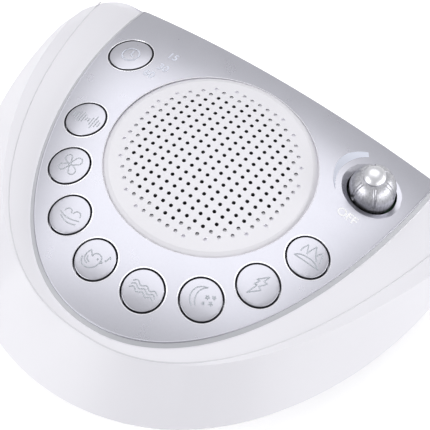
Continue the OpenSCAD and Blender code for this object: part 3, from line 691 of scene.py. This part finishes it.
# Marks are films that float a little over their surface; steps are along a straight stroke
marks = {"width": 0.36, "thick": 0.02, "float": 0.02, "step": 0.4, "curveSteps": 5, "lineSteps": 8,
         "bold": 0.06, "depth": 0.05}


def surfaceOf(obj):
    # The height of a piece's own mesh from above, because its flat facets miss the true dome
    bpy.context.view_layer.update()

    def height(x, y):
        hit, place = obj.ray_cast(Vector((x * mm, y * mm, 1)), Vector((0, 0, -1)))[:2]
        return place.z / mm if hit else domeHeight(x, y)
    return height


def layFlat(obj, surface):
    # Flattens a mark to a thin film and lays it on a surface
    for v in obj.data.vertices:
        x, y = v.co.x / mm, v.co.y / mm
        rise = marks["thick"] if v.co.z > 0 else 0
        v.co.z = (surface(x, y) + rise + marks["float"]) * mm


def cutStraights(points, closed):
    # A straight stroke needs points on its way to follow a domed surface
    ends = points[1:] + points[:1] if closed else points[1:]
    cut = []
    for (x, y), (nextX, nextY) in zip(points, ends):
        count = max(1, math.ceil(math.hypot(nextX - x, nextY - y) / marks["step"]))
        cut += [(x + (nextX - x) * i / count, y + (nextY - y) * i / count) for i in range(count)]
    return cut if closed else cut + [points[-1]]


def drawStrokes(name, strokes, place, surface, width):
    # The points count from the key's middle
    curve = newCurve(name, width / 2, 0)
    curve.use_fill_caps = True
    for points, smooth, closed in strokes:
        points = points if smooth else cutStraights(points, closed)
        spline = curve.splines.new("BEZIER")
        spline.bezier_points.add(len(points) - 1)
        spline.use_cyclic_u = closed
        spline.resolution_u = marks["curveSteps"] if smooth else marks["lineSteps"]
        for target, (x, y) in zip(spline.bezier_points, points):
            target.co = ((place[0] + x) * mm, (place[1] + y) * mm, 0)
            kind = "AUTO" if smooth else "VECTOR"
            target.handle_left_type = kind
            target.handle_right_type = kind
    obj = meshOf(curve)
    layFlat(obj, surface)
    return obj


def arc(cx, cy, r, start, end, count=9):
    steps = [math.radians(start + (end - start) * i / (count - 1)) for i in range(count)]
    return [(cx + r * math.cos(a), cy + r * math.sin(a)) for a in steps]


def star(cx, cy, r, waist=0.42):
    # Five points, with the notches between them at the waist
    corners = [(r if i % 2 == 0 else r * waist, math.radians(36 * i)) for i in range(10)]
    return [(cx + away * math.sin(a), cy + away * math.cos(a)) for away, a in corners]


def drop(cx, cy, length, turn):
    shape = [(0, 0), (0.28, -0.45), (0.34, -0.78), (0, -1.05), (-0.34, -0.78), (-0.28, -0.45)]
    a = math.radians(turn)
    return [(cx + length * (x * math.cos(a) - y * math.sin(a)),
             cy + length * (x * math.sin(a) + y * math.cos(a))) for x, y in shape]


# Half heights of the noise bars, and one line of the waves
barHeights = [1.0, 1.3, 2.2, 2.1, 1.6, 0.7, 0.7, 1.6, 2.6, 1.5, 1.0]
waveLine = [(-4.2, -0.4), (-3.0, 0.45), (-1.3, -0.4), (0.4, 0.45), (1.9, -0.4), (3.4, 0.45),
            (4.7, -0.3)]
# A stroke is its points in millimetres, whether it is smooth and whether it is closed
pictograms = {
    "button_noise": {"ink": "faintInk", "strokes": [
        ([(-4.75 + i, -h), (-4.75 + i, h)], False, False) for i, h in enumerate(barHeights)]},
    "button_rain": {"ink": "faintInk", "strokes": [
        (drop(0.2, 0.5, 3.6, 140), True, True), (drop(0.4, 0.2, 3.4, 45), True, True),
        (drop(-0.3, 0.6, 3.2, -135), True, True), (drop(-0.3, 0.1, 3.2, -45), True, True)]},
    "button_stream": {"ink": "faintInk", "strokes": [
        (arc(-1.0, 0.5, 1.2, 190, 0), True, False), (arc(2.2, 0.6, 1.3, 180, -10), True, False),
        ([(-2.6, -1.4), (-0.6, -2.3), (1.6, -2.6), (3.8, -2.1)], True, False),
        ([(-3.4, -0.3), (-1.2, -1.1), (1.4, -1.2), (4.2, -0.6)], True, False)]},
    "button_bird": {"ink": "markInk", "strokes": [
        ([(-1.3, 0.3), (-1.1, 1.2), (-0.4, 1.75), (0.7, 1.75), (1.7, 1.1), (1.9, 0.1), (1.75, -1.1),
          (0.4, -2.9), (-1.6, -3.45), (-3.4, -2.6), (-4.1, -1.1)], True, False),
        ([(-2.8, 1.9), (-3.4, 0.2), (-3.0, -1.6), (-1.5, -2.4)], True, False),
        ([(-2.6, -0.2), (-2.2, -1.2), (-1.1, -1.7)], True, False),
        ([(-1.3, 0.3), (-2.8, 1.9)], False, False),
        ([(1.9, 0.5), (2.7, 0.0), (1.9, -0.4)], False, False),
        (arc(0.75, 0.3, 0.16, 0, 300, 6), True, True),
        (arc(3.2, 1.15, 0.16, 0, 300, 6), True, True),
        ([(3.35, 1.2), (3.65, 3.0), (4.2, 2.3)], False, False)]},
    "button_waves": {"ink": "markInk", "strokes": [
        ([(x, y + 1.25 - 1.15 * row) for x, y in waveLine], True, False) for row in range(3)]},
    "button_night": {"ink": "markInk", "strokes": [
        ([(-0.3, 4.1), (-2.4, 3.0), (-3.5, 1.2), (-3.5, -0.6), (-2.7, -2.2),
          (-1.3, -3.4)], True, False),
        ([(-0.3, 4.1), (-1.5, 2.8), (-2.0, 1.2), (-1.8, -0.5), (-1.3, -1.6),
          (-0.5, -2.6)], True, False),
        (star(1.2, 1.5, 0.7), False, True), (star(2.9, 2.6, 0.6), False, True),
        (star(3.1, 0.5, 0.7), False, True), (star(1.2, -0.7, 0.5), False, True)]},
    "button_storm": {"ink": "markInk", "strokes": [
        ([(1.5, 4.2), (-1.3, 1.1), (-0.2, 1.35), (-1.2, -0.6), (-0.2, -0.25), (-1.5, -4.1),
          (1.6, -0.9), (0.4, -0.4), (2.1, 1.9), (0.8, 1.95)], False, True)]},
    "button_fire": {"ink": "markInk", "strokes": [
        ([(-2.9, 0.1), (-2.6, 1.8), (-1.95, 3.4)], True, False),
        ([(-1.95, 3.4), (-1.3, 2.0), (-0.75, 0.6)], True, False),
        ([(-0.75, 0.6), (-0.3, 2.6), (0.4, 4.5)], True, False),
        ([(0.4, 4.5), (1.5, 2.2), (2.9, 0.3)], True, False),
        ([(1.9, 1.7), (2.3, 3.0), (3.0, 3.75)], True, False),
        ([(3.0, 3.75), (3.7, 2.2), (4.1, 0.4)], True, False),
        ([(-3.75, -2.0), (-2.4, -0.9), (0.0, -0.25), (2.3, -0.25), (4.8, -1.4)], True, False),
        ([(-3.75, -2.0), (0.5, -1.75), (4.8, -1.4)], False, False)]},
    "timer_button": {"ink": "paleInk", "width": 0.62, "strokes": [
        (arc(0, 0, 2.9, 0, 342, 20), True, True), ([(0, 1.9), (0, 0), (1.5, -0.7)], False, False)]},
}


def makePictograms():
    for node, mark in pictograms.items():
        name, key = node + "_mark", keys[node]
        capTop = surfaceOf(bpy.data.objects[node + "_cap"])
        width = mark.get("width", marks["width"])
        obj = drawStrokes(name, mark["strokes"], key["at"], capTop, width)
        finishPiece(obj, name, key["body"], mark["ink"])


makePictograms()

labels = [
    {"name": "label15", "text": "15", "ink": "paleInk", "at": (-35.5, 48.9), "size": 4.0},
    {"name": "label30", "text": "30", "ink": "paleInk", "at": (-35.0, 42.75), "size": 4.0},
    {"name": "label60", "text": "60", "ink": "paleInk", "at": (-37.2, 38.0), "size": 4.0},
    {"name": "labelOff", "text": "OFF", "ink": "whiteInk", "at": (44.3, 31.5), "size": 4.0},
]


def makeLabels():
    panelHeight = surfaceOf(bpy.data.objects["facePanelSkin"])
    for label in labels:
        deselectAll()
        bpy.ops.object.text_add(location=(label["at"][0] * mm, label["at"][1] * mm, 0))
        text = bpy.context.object
        text.data.body = label["text"]
        text.data.size = label["size"] * mm
        text.data.align_x = "CENTER"
        text.data.align_y = "CENTER"
        text.data.extrude = marks["depth"] * mm
        text.data.offset = marks["bold"] * mm
        bpy.ops.object.convert(target="MESH")
        text = bpy.context.object
        seat(text)
        layFlat(text, panelHeight)
        finishPiece(text, label["name"], "body", label["ink"])


makeLabels()
print("marks ready")

# The volume wedge tapers round the knob: turn in degrees, inner and outer radius
wedge = {"centre": (45.5, 45.0), "steps": 48, "float": 0.02, "thick": 0.03, "angle": 40,
         "edges": [(128, 13.05, 14.9), (141, 12.75, 15.1), (155, 12.45, 15.2), (174, 12.2, 14.5),
                   (201, 12.15, 13.0), (220, 12.15, 12.2)]}


def wedgeRadii(turn):
    edges = wedge["edges"]
    for (low, *first), (high, *last) in zip(edges, edges[1:]):
        if turn <= high:
            break
    share = (turn - low) / (high - low)
    return [a + (b - a) * share for a, b in zip(first, last)]


def makeWedge():
    cx, cy = wedge["centre"]
    start, end = wedge["edges"][0][0], wedge["edges"][-1][0]
    deselectAll()
    bpy.ops.mesh.primitive_grid_add(x_subdivisions=wedge["steps"], y_subdivisions=2, size=2)
    strip = bpy.context.object
    for v in strip.data.vertices:
        turn = start + (end - start) * (v.co.x + 1) / 2
        inner, outer = wedgeRadii(turn)
        radius = inner + (outer - inner) * (v.co.y + 1) / 2
        x = cx + radius * math.cos(math.radians(turn))
        y = cy + radius * math.sin(math.radians(turn))
        v.co = Vector((x, y, domeHeight(x, y) + wedge["float"])) * mm
    strip.data.update()
    if strip.data.polygons[0].normal.z < 0:
        strip.data.flip_normals()
    makeActive(strip)
    bpy.ops.object.modifier_add(type="SOLIDIFY")
    strip.modifiers[-1].thickness = wedge["thick"] * mm
    bpy.ops.object.modifier_apply(modifier=strip.modifiers[-1].name)
    smoothByAngle(strip, wedge["angle"])
    finishPiece(strip, "volumeWedge", "body", "paleInk")


makeWedge()
print("volume wedge ready")

# Metres; the floor's glow grows from "floorGlow" at "near" to "farGlow" at "far"
stageLook = {"floor": 0.86, "floorSize": 6, "floorParts": 8, "floorGlow": 0.45, "farGlow": 1.0,
             "near": 0.16, "far": 0.5, "sky": 0.1, "skyColor": (0.97, 0.98, 1.0)}
# Soft boxes: turn from straight behind towards the right, height and roll in degrees, and size
boxAway = 0.9
boxTarget = (0, 0.015, 0.035)
boxes = {
    "overhead": {"turn": -32.5, "high": 61.2, "roll": -26.0, "size": (1.29, 1.08), "power": 7.5},
    "frontLeft": {"turn": -150.0, "high": 24.0, "roll": 0.0, "size": (0.84, 0.38), "power": 4.4},
    "right": {"turn": 100.0, "high": 14.0, "roll": 0.0, "size": (0.7, 0.38), "power": 2.6},
    "rightBack": {"turn": 60.0, "high": 9.0, "roll": 0.0, "size": (0.63, 0.22), "power": 2.4},
}


def makeFloor():
    deselectAll()
    parts = stageLook["floorParts"]
    bpy.ops.mesh.primitive_grid_add(x_subdivisions=parts, y_subdivisions=parts,
                                    size=stageLook["floorSize"])
    floor = bpy.context.object
    floor.name = "floor"
    material = bpy.data.materials.new("floorPaper")
    material.use_nodes = True
    tree = material.node_tree
    tree.nodes.clear()
    out = tree.nodes.new("ShaderNodeOutputMaterial")
    paper = tree.nodes.new("ShaderNodeBsdfDiffuse")
    paper.inputs["Color"].default_value = (stageLook["floor"],) * 3 + (1,)
    ray = tree.nodes.new("ShaderNodeLightPath")
    seen = addMath(tree, "MAXIMUM", ray.outputs["Is Camera Ray"], ray.outputs["Is Glossy Ray"])
    # The glow grows away from the object, so that the far floor is white in low views too
    place = tree.nodes.new("ShaderNodeTexCoord")
    away = tree.nodes.new("ShaderNodeVectorMath")
    away.operation = "LENGTH"
    tree.links.new(place.outputs["Object"], away.inputs[0])
    strength = addRange(tree, away.outputs["Value"], stageLook["floorGlow"], stageLook["farGlow"],
                        stageLook["near"], stageLook["far"])
    glow = tree.nodes.new("ShaderNodeEmission")
    tree.links.new(addMath(tree, "MULTIPLY", seen, strength), glow.inputs["Strength"])
    both = tree.nodes.new("ShaderNodeAddShader")
    tree.links.new(paper.outputs["BSDF"], both.inputs[0])
    tree.links.new(glow.outputs["Emission"], both.inputs[1])
    tree.links.new(both.outputs["Shader"], out.inputs["Surface"])
    floor.data.materials.append(material)


def addBackground(tree, color, strength):
    background = tree.nodes.new("ShaderNodeBackground")
    background.inputs["Color"].default_value = (*color, 1)
    background.inputs["Strength"].default_value = strength
    return background.outputs["Background"]


def makeSky():
    # A faint sky lights the object, while the camera and mirrors see plain white
    world = bpy.data.worlds.new("sky")
    bpy.context.scene.world = world
    world.use_nodes = True
    tree = world.node_tree
    tree.nodes.clear()
    out = tree.nodes.new("ShaderNodeOutputWorld")
    soft = addBackground(tree, stageLook["skyColor"], stageLook["sky"])
    white = addBackground(tree, (1, 1, 1), 1.0)
    ray = tree.nodes.new("ShaderNodeLightPath")
    seen = addMath(tree, "MAXIMUM", ray.outputs["Is Camera Ray"], ray.outputs["Is Glossy Ray"])
    seen = addMath(tree, "MAXIMUM", seen, ray.outputs["Is Transmission Ray"])
    mix = tree.nodes.new("ShaderNodeMixShader")
    for source, place in zip((seen, soft, white), mix.inputs):
        tree.links.new(source, place)
    tree.links.new(mix.outputs["Shader"], out.inputs["Surface"])


def makeBoxes():
    for name, box in boxes.items():
        turn, high = math.radians(box["turn"]), math.radians(box["high"])
        level = math.cos(high)
        away = Vector((math.sin(turn) * level, math.cos(turn) * level, math.sin(high)))
        light = bpy.data.lights.new(name, "AREA")
        light.shape = "RECTANGLE"
        light.size, light.size_y = box["size"]
        light.energy = box["power"]
        lamp = bpy.data.objects.new(name, light)
        bpy.context.scene.collection.objects.link(lamp)
        lamp.location = Vector(boxTarget) + away * boxAway
        spin = Quaternion((0, 0, 1), math.radians(box["roll"]))
        lamp.rotation_euler = (away.to_track_quat("Z", "Y") @ spin).to_euler()


camera = {"lens": 130.58, "sensor": 36, "clip": (0.01, 20),
          "at": (0.145424, -0.181108, 0.458668), "turn": (28.623, 0.0, 35.472)}


def makeCamera():
    data = bpy.data.cameras.new("camera")
    data.lens = camera["lens"]
    data.sensor_width = camera["sensor"]
    data.clip_start, data.clip_end = camera["clip"]
    view = bpy.data.objects.new("camera", data)
    bpy.context.scene.collection.objects.link(view)
    view.location = camera["at"]
    view.rotation_euler = [math.radians(a) for a in camera["turn"]]
    bpy.context.scene.camera = view


makeFloor()
makeSky()
makeBoxes()
makeCamera()
bpy.context.scene.view_settings.view_transform = "Standard"
deselectAll()
print("stage ready")
